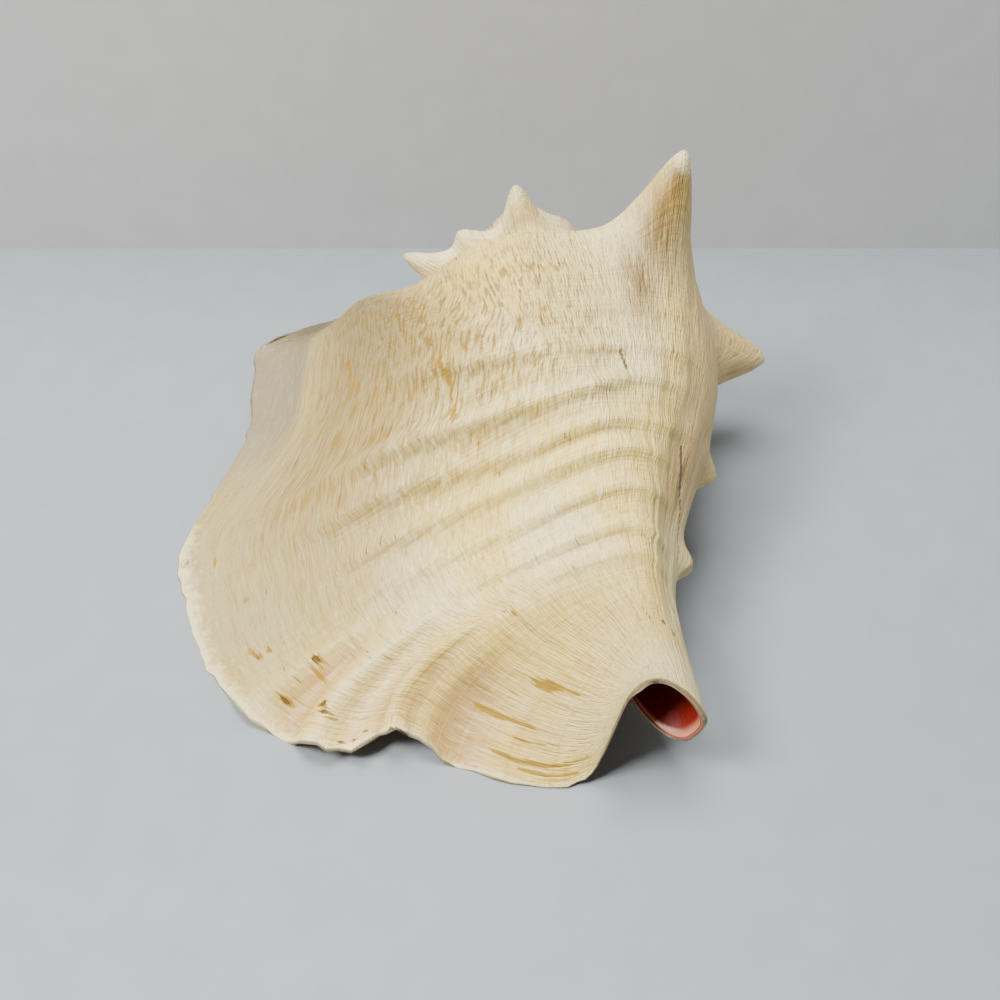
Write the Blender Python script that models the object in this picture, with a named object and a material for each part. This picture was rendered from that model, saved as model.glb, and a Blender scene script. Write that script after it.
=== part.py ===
"""A queen conch lying on its aperture: one grown sheet of shell, coiled from the spire to a flared lip."""

from math import pi, radians

import bmesh
import bpy
import numpy as np
from mathutils import Vector

# The coil, in metres: along its axis from the canal to the apex, and out to the shoulder at the lip.
LENGTH = 0.212
SHOULDER_RADIUS = 0.060
SHOULDER_BELOW_APEX = 0.064
GROWTH_PER_TURN = 1.45
EARLY_GROWTH_PER_TURN = 1.65

# The open canal at the front end, and the pillar that it winds up from.
CANAL_RADIUS = 0.0145
PILLAR_RADIUS = 0.0075
PILLAR_GROWTH = 1.8
PILLAR_RECESS = 0.036
PILLAR_STEP = 0.010
PILLAR_STEPS = 2.0
CANAL_NOTCH = 0.012
CANAL_OPENS = 0.45
NOTCH_FROM = -0.50
NOTCH_OPENS = 0.30
RECESS_FROM = -0.60

# Thickness of the shell wall, of the canal's rim and of the lip's edge.
WALL = 0.0040
CANAL_WALL = 0.0022
LIP_EDGE = 0.0020

# Where the wall thins: from a start, over a length, in share for the canal and in turns for the lip.
CANAL_THINS = (0.60, 0.30)
LIP_THINS = (-0.10, 0.10)

# Late in the lip it is thinner still at its back corner and where it folds into the canal: the turns
# over which this comes, and for each end its share of the wall, where it starts and over what length.
LATE = (-0.16, 0.10)
THIN_BACK = (0.35, 0.24, 0.06)
THIN_FRONT = (0.40, 0.86, 0.04)

# How the shell lies: the canal's end, the rise of the axis towards the apex, the angle of the lip.
CANAL_END = np.array([0.027, -0.098, 0.029])
AXIS_RISE = radians(13.0)
LIP_ANGLE = pi

# The middle of the footprint of the shell as it lies, which becomes the origin.
FOOTPRINT_MIDDLE = np.array([0.0000, 0.0159, 0.0])

# Growth is counted in turns before the finished lip.
CAVITY_DEPTH = -0.82
APEX_TURN = -5.0

# Shares of the sheet across its width, from the suture (0) over the shoulder to the canal (1).
SHOULDER = 0.15
SUTURE = 0.184
SUTURE_INSIDE = 0.214

# Shares of the body between which the radius falls from shoulder to canal, early and at the lip,
# and the turns over which the one becomes the other.
FALL_EARLY = (0.12, 0.76)
FALL_AT_LIP = (0.02, 0.98)
FALL_CHANGES = (-0.45, 0.25)

# The last half turn swells on the right: stage, spread, amount, and the shares of its fading out.
SWELL = (-0.53, 0.20, 0.014, 0.25, 0.88)

# The ramp between suture and shoulder is hollow by this part of its rise in radius.
RAMP_SAG = 0.08

# Where the shoulder stays low between the spines: stage, spread, amount.
SHOULDER_DIPS = (
    (-0.270, 0.110, 0.006),
    (-0.480, 0.150, 0.007),
    (-1.180, 0.280, 0.009),
    (-1.400, 0.160, 0.006),
    (-2.200, 0.200, 0.003),
)

# Behind the shoulder the lip swells before it drops to its flat back corner: share, spread, way.
LIP_SWELL = (0.20, 0.24, (-0.006, 0.004, 0.011))

# The lip's margin from spire to canal: share across the sheet, and x, y, z in metres.
LIP_MARGIN = (
    (0.040, -0.026, 0.086, 0.056),
    (0.090, -0.042, 0.108, 0.036),
    (0.130, -0.057, 0.125, 0.020),
    (0.170, -0.071, 0.131, 0.010),
    (0.230, -0.076, 0.113, 0.008),
    (0.300, -0.081, 0.084, 0.006),
    (0.370, -0.095, 0.058, 0.004),
    (0.440, -0.110, 0.029, 0.002),
    (0.510, -0.1085, 0.000, 0.0005),
    (0.580, -0.103, -0.026, 0.0005),
    (0.640, -0.091, -0.048, 0.002),
    (0.690, -0.076, -0.063, 0.005),
    (0.735, -0.062, -0.068, 0.007),
    (0.775, -0.046, -0.069, 0.013),
    (0.820, -0.030, -0.080, 0.004),
    (0.870, -0.0046, -0.092, 0.0005),
    (0.910, 0.008, -0.0925, 0.004),
    (0.940, 0.012, -0.092, 0.014),
    (0.970, 0.0145, -0.0925, 0.027),
    (1.000, 0.016, -0.094, 0.0385),
)

# Where the sheet heads as it reaches the margin: share, and a direction whose length is its reach.
LIP_HEADING = (
    (0.00, -0.60, 0.70, -0.30),
    (0.10, -0.60, 0.80, -0.35),
    (0.17, -1.10, 0.50, -0.15),
    (0.30, -1.20, 0.05, -0.10),
    (0.45, -1.00, 0.10, -0.20),
    (0.55, -1.00, -0.20, -0.20),
    (0.65, -0.75, -0.60, -0.20),
    (0.74, -0.35, -0.90, -0.25),
    (0.78, -0.15, -0.90, -0.25),
    (0.85, -0.30, -0.85, -0.40),
    (0.91, -0.15, -0.60, -0.60),
    (0.95, -0.20, -0.20, -0.80),
    (1.00, -0.20, 0.00, -0.90),
)

# Where the sheet leaves the coil to flare: share, stage of growth, and how full its sweep is.
LIP_LEAVES = (
    (0.00, -0.050, 1.0),
    (0.06, -0.095, 1.7),
    (0.15, -0.120, 1.9),
    (0.30, -0.170, 1.9),
    (0.45, -0.240, 1.5),
    (0.60, -0.300, 1.1),
    (1.00, -0.300, 1.0),
)

# The lip stays on the coil at the suture, and is free of it from this share on.
LIP_JOINS = 0.02

# Spines along the shoulder: stage of growth, share, height, half width at the base, lean towards
# the apex, and turn from straight outwards.
SPINES = (
    (-0.372, 0.150, 0.032, 0.0122, 0.20, 0.56),
    (-0.565, 0.188, 0.031, 0.0125, -0.20, 0.30),
    (-0.700, 0.150, 0.027, 0.0105, 0.25, 0.0),
    (-0.830, 0.150, 0.010, 0.0085, 0.25, 0.0),
    (-1.078, 0.150, 0.019, 0.0062, 0.20, 0.0),
    (-1.140, 0.150, 0.012, 0.0052, 0.20, 0.0),
    (-1.222, 0.150, 0.020, 0.0065, 0.25, 0.0),
    (-1.420, 0.150, 0.010, 0.0045, 0.25, 0.0),
    (-1.540, 0.150, 0.008, 0.0045, 0.25, 0.0),
    (-1.660, 0.150, 0.007, 0.0045, 0.25, 0.0),
    (-1.780, 0.150, 0.007, 0.0045, 0.25, 0.0),
    (-1.900, 0.150, 0.007, 0.0040, 0.25, 0.0),
    (-2.020, 0.150, 0.005, 0.0040, 0.25, 0.0),
    (-2.270, 0.150, 0.003, 0.0040, 0.25, 0.0),
)

# Knobs on the right flank, below the shoulder: stage, share, height, half width.
KNOBS = (
    (-0.545, 0.500, 0.0060, 0.0055),
    (-0.540, 0.695, 0.0060, 0.0055),
)

# Folds that fan out to the lip's front margin: share there, drift in share for each turn, rise or
# fall, half width in share.
FOLDS = (
    (0.628, -0.18, 0.0022, 0.024),
    (0.668, 0.25, -0.0034, 0.022),
    (0.702, 0.15, 0.0032, 0.030),
    (0.757, 0.20, -0.0024, 0.013),
    (0.769, 0.05, 0.0020, 0.010),
    (0.781, 0.05, -0.0020, 0.012),
    (0.818, 0.06, -0.0030, 0.026),
)

# The folds start at this stage, and are full so many turns later.
FOLDS_RISE = (-0.15, 0.10)

# The surface normal is taken over these turns and this share of the width, and over more of it for
# the inside, so that the inside is smoother.
NORMAL_STEP = 2e-3
INSIDE_REACH = 0.03

# Spines rise as exp(-SHARP * away ** SHAPE), away in half widths, within so many turns of their foot.
# They fade out where the next turn covers the one that bears them, from one stage back over a length.
SPINE_SHARP = 1.1
SPINE_SHAPE = 1.7
SPINE_SPAN = 0.3
COVERED_BEFORE = -0.97
COVERED_OVER = 0.05

# Columns round one turn, rows across the ramp, and for the body how many rows reach which share.
COLUMNS = 64
RAMP_ROWS = (0.0, 0.055, 0.105)
BODY_ROWS = ((0.60, 6), (0.85, 9), (1.00, 4))

# The columns stand closer together in the flaring lip, from a stage over a length and by so much,
# and around the great spines, over a spread of turns and by so much for each metre of spine.
CLOSER_IN_LIP = (-0.25, 0.15, 1.44)
CLOSER_AT_SPINES = (4, 0.035, 60.0)


def smooth(x):
    """Rise from 0 to 1 as x does, level at both ends."""
    x = np.clip(x, 0.0, 1.0)
    return x * x * (3.0 - 2.0 * x)


def smooth_over(x, start, length):
    """Rise from 0 at the start to 1 a length further on."""
    return smooth((x - start) / length)


def hump(x):
    """A rounded bump of height 1 over x from -1 to 1."""
    return 1.0 - smooth(np.abs(x))


def axis_frame():
    """The coil's axis, and the directions to the right of it and above it."""
    along = np.array([0.0, np.cos(AXIS_RISE), np.sin(AXIS_RISE)])
    right = np.array([1.0, 0.0, 0.0])
    return along, right, np.cross(right, along)


def canal_radius(t):
    pillar = PILLAR_RADIUS * PILLAR_GROWTH ** (t + 1.0)
    return pillar + (CANAL_RADIUS - pillar) * smooth((t + 1.0) / CANAL_OPENS)


def front_edge(t):
    """How far the sheet's front edge stands back from the canal's end."""
    notch = CANAL_NOTCH * smooth((t - NOTCH_FROM) / NOTCH_OPENS)
    recess = PILLAR_RECESS * smooth((RECESS_FROM - t) / CANAL_OPENS)
    return notch + recess + PILLAR_STEP * np.clip(-t - 1.0, 0.0, PILLAR_STEPS)


def growth(t):
    """Size of the shell at stage t, against its size at the lip."""
    early = np.minimum(t + 1.0, 0.0)
    return GROWTH_PER_TURN ** (t - early) * EARLY_GROWTH_PER_TURN ** early


def body_profile(t, q):
    """Radius and place along the axis at stage t, for share q from shoulder to canal."""
    scale = growth(t)
    shoulder_at = LENGTH - SHOULDER_BELOW_APEX * scale
    at = shoulder_at + (front_edge(t) - shoulder_at) * q
    late = smooth_over(t, *FALL_CHANGES)
    starts = FALL_EARLY[0] + (FALL_AT_LIP[0] - FALL_EARLY[0]) * late
    ends = FALL_EARLY[1] + (FALL_AT_LIP[1] - FALL_EARLY[1]) * late
    fall = smooth((q - starts) / (ends - starts))
    stage, spread, amount, full, gone = SWELL
    swell = amount * hump((t - stage) / spread) * (1.0 - smooth((q - full) / (gone - full)))
    inner = canal_radius(t)
    shoulder = SHOULDER_RADIUS * scale
    for stage, spread, amount in SHOULDER_DIPS:
        shoulder = shoulder - amount * hump((t - stage) / spread)
    return inner + (shoulder - inner) * (1.0 - fall) + swell, at


def coil(t, s):
    """Points of the plain coil, without flare or spines, at stage t and share s."""
    t, s = np.broadcast_arrays(np.asarray(t, float), np.asarray(s, float))
    q = np.clip((s - SHOULDER) / (1.0 - SHOULDER), 0.0, 1.0)
    radius, at = body_profile(t, q)
    suture_q = (SUTURE - SHOULDER) / (1.0 - SHOULDER)
    suture_radius, suture_at = body_profile(t - 1.0, suture_q)
    x = np.clip(s / SHOULDER, 0.0, 1.0)
    sag = RAMP_SAG * (radius - suture_radius) * np.sin(pi * x)
    radius = np.where(s < SHOULDER, suture_radius + (radius - suture_radius) * x, radius)
    at = np.where(s < SHOULDER, suture_at + (at - suture_at) * x - sag, at)
    along, right, above = axis_frame()
    angle = LIP_ANGLE + 2.0 * pi * t
    return (CANAL_END + along * at[..., None] + right * (radius * np.cos(angle))[..., None]
            + above * (radius * np.sin(angle))[..., None])


def curve_through(keys, points, x):
    """A smooth curve through the points, which stand at uneven keys."""
    keys = np.asarray(keys, float)
    points = np.asarray(points, float)
    step = np.diff(keys)
    slope = np.diff(points, axis=0) / step[:, None]
    tangent = np.empty_like(points)
    tangent[0] = slope[0]
    tangent[-1] = slope[-1]
    weight = (step[1:] / (step[1:] + step[:-1]))[:, None]
    tangent[1:-1] = slope[:-1] * weight + slope[1:] * (1.0 - weight)
    i = np.clip(np.searchsorted(keys, x, side="right") - 1, 0, len(step) - 1)
    u = ((x - keys[i]) / step[i])[..., None]
    return hermite(points[i], tangent[i] * step[i][..., None],
                   points[i + 1], tangent[i + 1] * step[i][..., None], u)


def curve_rows(rows, x):
    """A smooth curve through a table whose rows start with their key."""
    return curve_through([row[0] for row in rows], [row[1:] for row in rows], x)


def hermite(start, leaving, end, arriving, u):
    return ((2 * u ** 3 - 3 * u ** 2 + 1) * start + (u ** 3 - 2 * u ** 2 + u) * leaving
            + (3 * u ** 2 - 2 * u ** 3) * end + (u ** 3 - u ** 2) * arriving)


def lip_margin(s):
    keys = [0.0] + [row[0] for row in LIP_MARGIN]
    points = [coil(0.0, 0.0)] + [np.array(row[1:]) for row in LIP_MARGIN]
    return curve_through(keys, points, s)


def flared(t, s):
    """The outer sheet without spines: the coil, which the lip leaves to sweep out to its margin."""
    t, s = np.broadcast_arrays(np.asarray(t, float), np.asarray(s, float))
    plain = coil(t, s)
    begun, fullness = np.moveaxis(curve_rows(LIP_LEAVES, s), -1, 0)
    step = 1e-3
    start = coil(begun, s)
    leaving = (start - coil(begun - step, s)) / step * (-begun * fullness)[..., None]
    end = lip_margin(s)
    heading = curve_rows(LIP_HEADING, s)
    arriving = heading * np.linalg.norm(end - start, axis=-1, keepdims=True)
    u = np.clip(1.0 - t / begun, 0.0, 1.0)[..., None]
    lip = hermite(start, leaving, end, arriving, u)
    share, spread, way = LIP_SWELL
    lip = lip + np.array(way) * hump((s - share) / spread)[..., None] * (4.0 * u * (1.0 - u)) ** 2
    hold = (1.0 - smooth(s / LIP_JOINS))[..., None]
    lip = lip * (1.0 - hold) + plain * hold
    return np.where((t > begun)[..., None], lip, plain)


def surface_normal(t, s, reach=NORMAL_STEP):
    across = flared(t, np.clip(s + reach, 0.0, 1.0)) - flared(t, np.clip(s - reach, 0.0, 1.0))
    forward = flared(np.minimum(t + NORMAL_STEP, 0.0), s) - flared(t - NORMAL_STEP, s)
    normal = np.cross(forward, across)
    return normal / (np.linalg.norm(normal, axis=-1, keepdims=True) + 1e-15)


def spine_lift(t, s, points):
    """How far the spines along the shoulder carry each point outwards, above the next suture."""
    along, right, above = axis_frame()
    lift = np.zeros_like(points)
    for stage, share, height, width, lean, turn in SPINES:
        foot = flared(stage, share)
        angle = LIP_ANGLE + 2.0 * pi * stage + turn
        way = right * np.cos(angle) + above * np.sin(angle) + along * lean
        away = np.linalg.norm(points - foot, axis=-1) / width
        rise = np.exp(-SPINE_SHARP * away ** SPINE_SHAPE) * (np.abs(t - stage) < SPINE_SPAN)
        lift += rise[..., None] * height * way / np.linalg.norm(way)
    covered = smooth((COVERED_BEFORE - t) / COVERED_OVER) * smooth((s - SHOULDER) / (SUTURE - SHOULDER))
    return lift * (1.0 - covered)[..., None]


def knob_lift(t, points):
    lift = np.zeros(points.shape[:-1])
    for stage, share, height, width in KNOBS:
        away = np.linalg.norm(points - flared(stage, share), axis=-1) / width
        lift += height * np.exp(-away ** 2) * (np.abs(t - stage) < SPINE_SPAN)
    return lift


def fold_lift(t, s):
    lift = np.zeros(np.broadcast(t, s).shape)
    for share, drift, rise, width in FOLDS:
        lift += rise * hump((s - share - drift * t) / width) * smooth_over(t, *FOLDS_RISE)
    return lift


def outer(t, s):
    """The outside of the shell."""
    t, s = np.broadcast_arrays(np.asarray(t, float), np.asarray(s, float))
    points = flared(t, s)
    relief = knob_lift(t, points) + fold_lift(t, s)
    return points + spine_lift(t, s, points) + surface_normal(t, s) * relief[..., None]


def inner(t, s):
    """The inside of the last turn, which starts on the turn before at the foot of the suture."""
    t, s = np.broadcast_arrays(np.asarray(t, float), np.asarray(s, float))
    clear = RAMP_ROWS[1]
    full = np.maximum(s, clear)
    wall = WALL + (CANAL_WALL - WALL) * smooth_over(s, *CANAL_THINS)
    wall = wall + (LIP_EDGE - wall) * smooth_over(t, *LIP_THINS)
    late = smooth_over(t, *LATE)
    left, start, length = THIN_BACK
    wall = wall * (1.0 - (1.0 - left) * late * smooth((start - full) / length))
    left, start, length = THIN_FRONT
    wall = wall * (1.0 - (1.0 - left) * late * smooth_over(full, start, length))
    points = flared(t, full) + surface_normal(t, full) * fold_lift(t, full)[..., None]
    points = points - surface_normal(t, full, INSIDE_REACH) * wall[..., None]
    foot = outer(t - 1.0, SUTURE_INSIDE)
    share = np.clip(s / clear, 0.0, 1.0)[..., None]
    return foot + (points - foot) * share


def column_stages():
    """Stages of growth round the last turn, closer together where the great spines stand."""
    fine = np.linspace(-1.0, 0.0, 2001)
    start, length, closer = CLOSER_IN_LIP
    density = 1.0 + closer * smooth_over(fine, start, length)
    count, spread, closer = CLOSER_AT_SPINES
    for stage, share, height, width, lean, turn in SPINES[:count]:
        density += closer * height * np.exp(-((fine - stage) / spread) ** 2)
    total = np.concatenate([[0.0], np.cumsum((density[1:] + density[:-1]) / 2.0)])
    stages = np.interp(np.linspace(0.0, total[-1], COLUMNS + 1), total, fine)
    for stage in [CAVITY_DEPTH] + [spine[0] for spine in SPINES]:
        turn_stage = stage + np.floor(-stage)
        stages[np.argmin(np.abs(stages - turn_stage))] = turn_stage
    return stages


def row_shares():
    rows = [*RAMP_ROWS, SHOULDER, SUTURE, SUTURE_INSIDE]
    for share, count in BODY_ROWS:
        rows += list(np.linspace(rows[-1], share, count + 1)[1:])
    return np.array(rows)


def grid_faces(grid, outward=True):
    """Quads between the rows and columns of a grid of vertex numbers."""
    faces = []
    for i in range(len(grid) - 1):
        for j in range(len(grid[0]) - 1):
            face = [grid[i][j], grid[i + 1][j], grid[i + 1][j + 1], grid[i][j + 1]]
            faces.append(face if outward else face[::-1])
    return faces


def build_shell():
    stages = column_stages()
    rows = row_shares()
    suture_row = list(rows).index(SUTURE)
    turns = int(-APEX_TURN)
    points = []

    def add(new):
        first = len(points)
        points.extend(new.reshape(-1, 3))
        return np.arange(first, len(points)).reshape(new.shape[:-1])

    # The spire and the last turn are one long strip that is welded to itself one turn back.
    long_stages = np.concatenate([stages[:-1] + 1.0 - k for k in range(turns, 0, -1)] + [[0.0]])
    spire_rows = rows[:suture_row + 1]
    last = long_stages >= -1.0 - 1e-9
    spire = add(outer(long_stages[~last][:, None], spire_rows[None, :]))
    whorl = add(outer(long_stages[last][:, None], rows[None, :]))
    per_turn = len(stages) - 1
    apex = add(coil(np.array([APEX_TURN - 3.0]), 0.0))[0]
    strip = np.concatenate([spire, whorl[:, :suture_row + 1]])
    for i in range(len(strip)):
        strip[i, 0] = apex if i < per_turn else strip[i - per_turn, -1]
    spire = strip[:len(spire) + 1]
    whorl[:, 0] = strip[len(spire) - 1:, 0]
    faces = grid_faces(spire) + grid_faces(whorl)
    faces += [[apex, strip[0, j], strip[0, j + 1]] for j in range(1, suture_row)]

    # Inside the aperture: the wall of the turn before, and the inner face of the last turn.
    cavity = stages[stages >= CAVITY_DEPTH - 1e-9]
    before = add(outer(cavity[:-1, None] - 1.0, rows[None, suture_row + 1:]))
    before = np.concatenate([before, whorl[:1, suture_row + 1:]])
    inside = add(inner(cavity[:, None], rows[None, :]))
    inside[:, 0] = before[:, 0]
    faces += grid_faces(before)
    faces += grid_faces(inside, outward=False)

    # The lip's edge, the canal's rim, the deep end of the cavity and the pillar's tip.
    faces += grid_faces(np.stack([whorl[-1], inside[-1]]))
    rim = whorl[-len(cavity):, -1]
    faces += grid_faces(np.stack([rim, inside[:, -1]], axis=1))
    faces += bridge(before[0], inside[0])
    tip_loop = list(whorl[:len(whorl) - len(cavity) + 1, -1][::-1]) + list(before[:-1, -1][::-1])
    tip_loop.append(inside[0, -1])
    centre = add(np.mean([points[i] for i in tip_loop], axis=0)[None, :])[0]
    for i in range(len(tip_loop)):
        faces.append([centre, tip_loop[i], tip_loop[(i + 1) % len(tip_loop)]])
    return np.array(points), [face for face in map(without_repeats, faces) if len(face) > 2]


def without_repeats(face):
    """A face's corners, each once, for the quads that meet the apex."""
    return list(dict.fromkeys(int(corner) for corner in face))


def bridge(wall, roof):
    """Close the deep end between the turn before (wall) and the last turn's inside (roof)."""
    faces = []
    i = 0
    j = 0
    while i < len(wall) - 1 or j < len(roof) - 1:
        if j < len(roof) - 1 and (i == len(wall) - 1 or j * (len(wall) - 1) <= i * (len(roof) - 1)):
            faces.append([wall[i], roof[j], roof[j + 1]])
            j += 1
        else:
            faces.append([wall[i], roof[j], wall[i + 1]])
            i += 1
    return faces


def shell_material():
    material = bpy.data.materials.new("Shell")
    material.use_nodes = True
    shader = material.node_tree.nodes["Principled BSDF"]
    shader.inputs["Base Color"].default_value = (0.80, 0.70, 0.55, 1.0)
    shader.inputs["Roughness"].default_value = 0.45
    shader.inputs["Metallic"].default_value = 0.0
    return material


def make_shell():
    points, faces = build_shell()
    mesh = bpy.data.meshes.new("shell")
    mesh.from_pydata(points.tolist(), [], faces)
    solid = bmesh.new()
    solid.from_mesh(mesh)
    loose = [vertex for vertex in solid.verts if not vertex.link_faces]
    bmesh.ops.delete(solid, geom=loose, context="VERTS")
    bmesh.ops.recalc_face_normals(solid, faces=solid.faces)
    for vertex in solid.verts:
        vertex.co.z = max(vertex.co.z, 0.0)
        vertex.co -= Vector(FOOTPRINT_MIDDLE)
    bmesh.ops.triangulate(solid, faces=solid.faces)
    solid.to_mesh(mesh)
    solid.free()
    mesh.shade_smooth()
    mesh.materials.append(shell_material())
    shell = bpy.data.objects.new("shell", mesh)
    bpy.context.scene.collection.objects.link(shell)
    return shell


for leftover in list(bpy.data.objects):
    bpy.data.objects.remove(leftover)
make_shell()
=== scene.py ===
from math import cos, pi, radians, sin

import bmesh
import bpy
import numpy as np
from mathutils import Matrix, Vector
from mathutils.kdtree import KDTree


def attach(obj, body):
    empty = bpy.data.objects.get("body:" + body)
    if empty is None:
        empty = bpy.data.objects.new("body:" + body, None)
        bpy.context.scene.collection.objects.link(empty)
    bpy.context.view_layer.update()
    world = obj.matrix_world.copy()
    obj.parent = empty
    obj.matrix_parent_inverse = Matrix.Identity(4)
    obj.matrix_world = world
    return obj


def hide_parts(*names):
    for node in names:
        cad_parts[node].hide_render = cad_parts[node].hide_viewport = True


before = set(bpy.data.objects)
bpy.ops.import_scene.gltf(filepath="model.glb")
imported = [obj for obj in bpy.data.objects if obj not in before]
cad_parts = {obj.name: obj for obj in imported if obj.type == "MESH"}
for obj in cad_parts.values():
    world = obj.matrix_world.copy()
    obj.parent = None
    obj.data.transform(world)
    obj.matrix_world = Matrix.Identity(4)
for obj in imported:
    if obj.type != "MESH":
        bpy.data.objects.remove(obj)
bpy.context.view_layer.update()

tolerance = 1e-9

# how the shell grows: the same coil, lip and spines as the solid, in metres and turns
shell = {
    "length": 0.212, "shoulderRadius": 0.06, "shoulderBelowApex": 0.064,
    "growthPerTurn": 1.45, "earlyGrowthPerTurn": 1.65,
    "canalRadius": 0.0145, "pillarRadius": 0.0075, "pillarGrowth": 1.8,
    "pillarRecess": 0.036, "pillarStep": 0.01, "recessFrom": -0.6,
    "canalNotch": 0.012, "canalOpens": 0.45, "notchFrom": -0.5, "notchOpens": 0.3,
    "wall": 0.004, "canalWall": 0.0022, "lipEdge": 0.002, "thinBack": 0.35, "thinFront": 0.4,
    "canalEnd": (0.027, -0.098, 0.029), "axisRise": radians(13.0), "lipAngle": pi,
    "footprintMiddle": (0.0, 0.0159, 0.0),
    "cavityDepth": -0.82, "apexTurn": -5.0, "tipTurn": -8.0,
    "shoulder": 0.15, "suture": 0.184, "sutureInside": 0.214, "insideFoot": 0.055,
    "fallEarly": (0.12, 0.76), "fallAtLip": (0.02, 0.98),
    "fallChanges": (-0.45, 0.25),  # from this stage, over this many turns
    "swell": (-0.53, 0.2, 0.014, 0.25, 0.88),  # stage, spread, amount, fades from and to share
    "rampSag": 0.08, "sutureHold": 0.02,
    "shoulderDips": (
        (-0.27, 0.11, 0.006), (-0.48, 0.15, 0.007), (-1.18, 0.28, 0.009),
        (-1.4, 0.16, 0.006), (-2.2, 0.2, 0.003)),
    "lipSwell": (0.2, 0.24, (-0.006, 0.004, 0.011)),
    # share across the sheet, then x, y, z of the margin from spire to canal
    "lipMargin": (
        (0.04, -0.026, 0.086, 0.056), (0.09, -0.042, 0.108, 0.036), (0.13, -0.057, 0.125, 0.02),
        (0.17, -0.071, 0.131, 0.01), (0.23, -0.076, 0.113, 0.008), (0.3, -0.081, 0.084, 0.006),
        (0.37, -0.095, 0.058, 0.004), (0.44, -0.11, 0.029, 0.002), (0.51, -0.1085, 0.0, 0.0005),
        (0.58, -0.103, -0.026, 0.0005), (0.64, -0.091, -0.048, 0.002), (0.69, -0.076, -0.063, 0.005),
        (0.735, -0.062, -0.068, 0.007), (0.775, -0.046, -0.069, 0.013), (0.82, -0.03, -0.08, 0.004),
        (0.87, -0.0046, -0.092, 0.0005), (0.91, 0.008, -0.0925, 0.004), (0.94, 0.012, -0.092, 0.014),
        (0.97, 0.0145, -0.0925, 0.027), (1.0, 0.016, -0.094, 0.0385)),
    # share, then where the sheet heads as it reaches the margin
    "lipHeading": (
        (0.0, -0.6, 0.7, -0.3), (0.1, -0.6, 0.8, -0.35), (0.17, -1.1, 0.5, -0.15),
        (0.3, -1.2, 0.05, -0.1), (0.45, -1.0, 0.1, -0.2), (0.55, -1.0, -0.2, -0.2),
        (0.65, -0.75, -0.6, -0.2), (0.74, -0.35, -0.9, -0.25), (0.78, -0.15, -0.9, -0.25),
        (0.85, -0.3, -0.85, -0.4), (0.91, -0.15, -0.6, -0.6), (0.95, -0.2, -0.2, -0.8),
        (1.0, -0.2, 0.0, -0.9)),
    # share, stage where the sheet leaves the coil, fullness of its sweep
    "lipLeaves": (
        (0.0, -0.05, 1.0), (0.06, -0.095, 1.7), (0.15, -0.12, 1.9), (0.3, -0.17, 1.9),
        (0.45, -0.24, 1.5), (0.6, -0.3, 1.1), (1.0, -0.3, 1.0)),
    # stage, share, height, half width, lean towards the apex, turn from straight outwards
    "spines": (
        (-0.372, 0.15, 0.032, 0.0122, 0.2, 0.56), (-0.565, 0.188, 0.031, 0.0125, -0.2, 0.3),
        (-0.7, 0.15, 0.027, 0.0105, 0.25, 0.0), (-0.83, 0.15, 0.01, 0.0085, 0.25, 0.0),
        (-1.078, 0.15, 0.019, 0.0062, 0.2, 0.0), (-1.14, 0.15, 0.012, 0.0052, 0.2, 0.0),
        (-1.222, 0.15, 0.02, 0.0065, 0.25, 0.0), (-1.42, 0.15, 0.01, 0.0045, 0.25, 0.0),
        (-1.54, 0.15, 0.008, 0.0045, 0.25, 0.0), (-1.66, 0.15, 0.007, 0.0045, 0.25, 0.0),
        (-1.78, 0.15, 0.007, 0.0045, 0.25, 0.0), (-1.9, 0.15, 0.007, 0.004, 0.25, 0.0),
        (-2.02, 0.15, 0.005, 0.004, 0.25, 0.0), (-2.27, 0.15, 0.003, 0.004, 0.25, 0.0)),
    "spineSharp": 1.1, "spineShape": 1.7, "spineBlunt": 0.1,
    "spineCovered": (-0.97, 0.05),  # back from this stage the next turn covers its foot
    "near": 0.3,  # how many turns along the coil a spine or knob is felt
    "knobs": ((-0.545, 0.5, 0.006, 0.0055), (-0.54, 0.695, 0.006, 0.0055)),
    # share at the margin, drift for each turn, rise, half width in share
    "folds": (
        (0.628, -0.18, 0.0038, 0.022), (0.668, 0.25, -0.0056, 0.018), (0.702, 0.15, 0.0046, 0.024),
        (0.735, 0.18, -0.0022, 0.012), (0.757, 0.2, -0.0034, 0.013), (0.769, 0.05, 0.0036, 0.01),
        (0.784, 0.05, -0.0034, 0.014), (0.818, 0.06, -0.0044, 0.026)),
    "foldsRise": (-0.15, 0.1),
}


def softStep(x):
    x = np.clip(x, 0.0, 1.0)
    return x * x * (3.0 - 2.0 * x)


def hump(x):
    return 1.0 - softStep(np.abs(x))


def noise(u, v, seed, scramble=(127.1, 311.7, 74.7, 43758.5453)):
    # smooth noise from -1 to 1 over a square lattice
    def corner(i, j):
        wave = np.sin(i * scramble[0] + j * scramble[1] + seed * scramble[2]) * scramble[3]
        return 2.0 * (wave - np.floor(wave)) - 1.0
    i, j = np.floor(u), np.floor(v)
    a, b = softStep(u - i), softStep(v - j)
    return ((corner(i, j) * (1 - a) + corner(i + 1, j) * a) * (1 - b)
            + (corner(i, j + 1) * (1 - a) + corner(i + 1, j + 1) * a) * b)


def axisFrame():
    rise = shell["axisRise"]
    along, right = np.array([0.0, cos(rise), sin(rise)]), np.array([1.0, 0.0, 0.0])
    return along, right, np.cross(right, along)


def canalRadius(t):
    pillar = shell["pillarRadius"] * shell["pillarGrowth"] ** (t + 1.0)
    return pillar + (shell["canalRadius"] - pillar) * softStep((t + 1.0) / shell["canalOpens"])


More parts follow.
